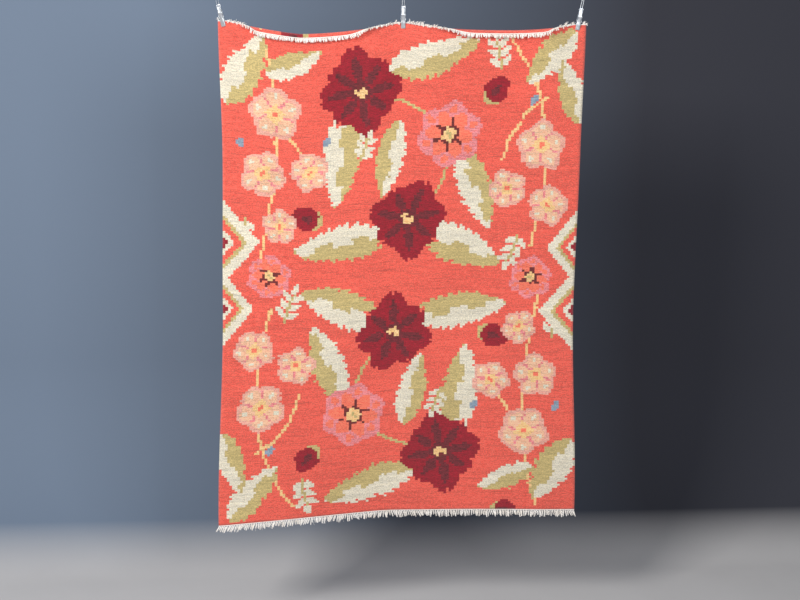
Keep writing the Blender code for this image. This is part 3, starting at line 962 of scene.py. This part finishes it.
# %% Polished steel
def steel_material():
    material, tree, shader = new_material("polished_steel")
    place = add_node(tree, "ShaderNodeTexCoord").outputs["Object"]
    smears = noise_node(tree, place, (1.0, 1.0, 1.0), 90.0, 4.0)
    grain = noise_node(tree, place, (1.0, 1.0, 0.06), 1600.0, 2.0)
    gloss = math_node(tree, "ADD", remap(tree, smears, 0.3, 0.7, 0.22, 0.40),
                      math_node(tree, "MULTIPLY", grain, 0.08))
    tree.links.new(gloss, shader.inputs["Roughness"])
    tint = mix_colour(tree, smears, dye(226, 230, 234), dye(196, 200, 206))
    tree.links.new(tint, shader.inputs["Base Color"])
    bump_node(tree, grain, 0.00005, shader)
    shader.inputs["Metallic"].default_value = 1.0
    return material


steel = steel_material()

# %% [markdown]
# The pins and the wire bails have the right shape as they are.  The pressed arms are made again with
# rounded shoulders and soft changes of section, from the same table of sections: height above the
# cloth's edge, half width, crown and edge of the cheeks.

# %% Sections of the pressed arms
GRIP = 0.023
STEEL = 0.0012
BACK_ARM = (
    (-GRIP, 0.0105, 0.0050, 0.0018),
    (-0.0150, 0.0110, 0.0065, 0.0018),
    (0.0105, 0.0110, 0.0085, 0.0018),
    (0.0135, 0.0110, 0.0085, -0.0055),
    (0.0255, 0.0110, 0.0085, -0.0055),
    (0.0285, 0.0110, 0.0085, -0.0005),
    (0.0400, 0.0108, 0.0085, -0.0015),
    (0.0560, 0.0090, 0.0082, -0.0050),
    (0.0780, 0.0086, 0.0080, -0.0050),
)
FRONT_JAW = (
    (-GRIP, 0.0102, -0.0050, -0.0018),
    (-0.0150, 0.0106, -0.0068, -0.0018),
    (0.0060, 0.0106, -0.0095, -0.0018),
    (0.0105, 0.0094, -0.0100, -0.0018),
    (0.0135, 0.0094, -0.0103, 0.0022),
    (0.0255, 0.0094, -0.0122, 0.0022),
    (0.0290, 0.0094, -0.0130, -0.0062),
    (0.0400, 0.0110, -0.0154, -0.0107),
)
SECTION_PARTS = 4
ROUND_STEPS = 12


# %% Pressed arms with rounded shoulders
def section_points(height, half_width, crown, cheek):
    """A cheek, a squarish arch over to the other side, and the other cheek."""
    shoulder = cheek + 0.45 * (crown - cheek)
    points = [Vector((-half_width, cheek, height))]
    for step in range(ROUND_STEPS + 1):
        angle = math.pi * step / ROUND_STEPS
        side = -math.copysign(abs(math.cos(angle)) ** 0.6, math.cos(angle)) * half_width
        points.append(Vector((side, shoulder + (crown - shoulder) * math.sin(angle) ** 0.6, height)))
    return points + [Vector((half_width, cheek, height))]


def pressed_arm(name, stations, inward, placement):
    rows_of_points = []
    for low, high in zip(stations, stations[1:]):
        for part in range(SECTION_PARTS):
            share = part / SECTION_PARTS
            sizes = [a + (b - a) * smooth_step(share) for a, b in zip(low[1:], high[1:])]
            rows_of_points.append(section_points(low[0] + (high[0] - low[0]) * share, *sizes))
    rows_of_points.append(section_points(*stations[-1]))
    arm = add_piece(name, bent_grid(name, rows_of_points), steel)
    arm.matrix_world = placement
    sheet = arm.modifiers.new("Sheet steel", "SOLIDIFY")
    sheet.thickness = STEEL
    sheet.offset = inward
    edges = arm.modifiers.new("Rolled edges", "BEVEL")
    edges.width = 0.0003
    edges.segments = 2
    edges.angle_limit = math.radians(50.0)
    return arm


# %% Finish the clips
for side, place_across, clip_lean, _start, _end in CLIPS:
    top_edge = Matrix.Translation((place_across, 0.0, -EDGE_BELOW_ORIGIN))
    placement = top_edge @ Matrix.Rotation(clip_lean, 4, "Y")
    for part, stations, inward in (("back_arm", BACK_ARM, -1.0), ("front_jaw", FRONT_JAW, 1.0)):
        arm = pressed_arm(side + "_pressed_" + part, stations, inward, placement)
        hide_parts(side + "_clip_" + part)
        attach(arm, "root")
wire_nodes = [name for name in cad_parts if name.endswith(("_pin", "_bail"))]
for name in wire_nodes:
    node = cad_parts[name]
    node.data.materials.clear()
    node.data.materials.append(steel)
print("pins and bails with a steel finish:", len(wire_nodes))

# %% [markdown]
# ## Studio
# The floor is pale and runs up behind the rug in one sweep, so that there is no line behind it; the wall
# is a blue grey with a painted falloff of light that darkens it to the right.  The paper has one side only,
# so the back of the rug can be seen through it.  A large soft light stands to the upper left, which makes
# that side the brighter one, and a weaker one close to the camera fills in and gives the steel something
# to reflect.

# %% Floor and sweep
FLOOR_BELOW = 0.55
floor_level = solid_box[0][2] - FLOOR_BELOW
SWEEP_BACK = 1.7
SWEEP_RADIUS = 1.0
SWEEP_FRONT = -9.0
SWEEP_SIDE = 7.0
SWEEP_TOP = 6.0
SWEEP_STEPS = 24
WALL_BEGINS = 0.16
profile = [(SWEEP_FRONT, 0.0), (SWEEP_BACK - SWEEP_RADIUS, 0.0)]
for step in range(1, SWEEP_STEPS + 1):
    angle = math.pi / 2 * step / SWEEP_STEPS
    profile.append((SWEEP_BACK - SWEEP_RADIUS + SWEEP_RADIUS * math.sin(angle),
                    SWEEP_RADIUS * (1.0 - math.cos(angle))))
profile.append((SWEEP_BACK, SWEEP_TOP))
sweep_sides = (-SWEEP_SIDE, 0.0, SWEEP_SIDE)
sweep_rows = [[Vector((side, back, floor_level + up)) for side in sweep_sides] for back, up in profile]
sweep = add_piece("studio_sweep", bent_grid("studio_sweep", sweep_rows[::-1]))


def paper_material():
    material, tree, shader = new_material("studio_paper")
    place = add_node(tree, "ShaderNodeTexCoord").outputs["Object"]
    sides = add_node(tree, "ShaderNodeSeparateXYZ")
    tree.links.new(place, sides.inputs["Vector"])
    rise = remap(tree, sides.outputs["Z"], floor_level, floor_level + WALL_BEGINS, 0.0, 1.0)
    # painted falloff of light: this share darkens the wall from the left towards the right
    across = remap(tree, sides.outputs["X"], -1.3, 1.6, 0.0, 1.0)
    grain = noise_node(tree, place, (1.0, 1.0, 1.0), 3.0, 4.0)
    floor_tone = mix_colour(tree, grain, dye(198, 196, 196), dye(206, 204, 204))
    # painted shade: the wall's blue grey turns darker towards the right, as if lit from the left
    wall_tone_with_painted_falloff = mix_colour(tree, across, dye(116, 130, 149), dye(64, 65, 72))
    tree.links.new(mix_colour(tree, rise, floor_tone, wall_tone_with_painted_falloff), shader.inputs["Base Color"])
    shader.inputs["Roughness"].default_value = 0.95
    shader.inputs["Specular IOR Level"].default_value = 0.1
    one_sided = add_node(tree, "ShaderNodeMixShader")
    tree.links.new(add_node(tree, "ShaderNodeNewGeometry").outputs["Backfacing"], one_sided.inputs[0])
    tree.links.new(shader.outputs["BSDF"], one_sided.inputs[1])
    tree.links.new(add_node(tree, "ShaderNodeBsdfTransparent").outputs["BSDF"], one_sided.inputs[2])
    tree.links.new(one_sided.outputs["Shader"], tree.nodes["Material Output"].inputs["Surface"])
    return material


sweep.data.materials.append(paper_material())


# %% Lights
def soft_light(name, place, target, size, power, colour):
    data = bpy.data.lights.new(name, "AREA")
    data.shape = "RECTANGLE"
    data.size, data.size_y = size
    data.energy = power
    data.color = colour
    light = bpy.data.objects.new(name, data)
    scene.collection.objects.link(light)
    aim = Vector(target) - Vector(place)
    light.location = place
    light.rotation_mode = "QUATERNION"
    light.rotation_quaternion = aim.to_track_quat("-Z", "Y")
    return light


soft_light("key_light", (-3.2, -4.2, 1.6), (-0.2, 0.0, -0.7), (1.6, 1.6), 320.0, (1.0, 0.98, 0.95))
soft_light("fill_light", (1.8, -6.2, 0.8), (0.3, 0.0, -1.0), (2.4, 2.4), 180.0, (0.97, 0.98, 1.0))
world = bpy.data.worlds.new("soft_surround")
world.use_nodes = True
world.node_tree.nodes["Background"].inputs["Color"].default_value = (0.80, 0.84, 0.90, 1.0)
world.node_tree.nodes["Background"].inputs["Strength"].default_value = 0.30
scene.world = world
scene.view_settings.view_transform = "Standard"
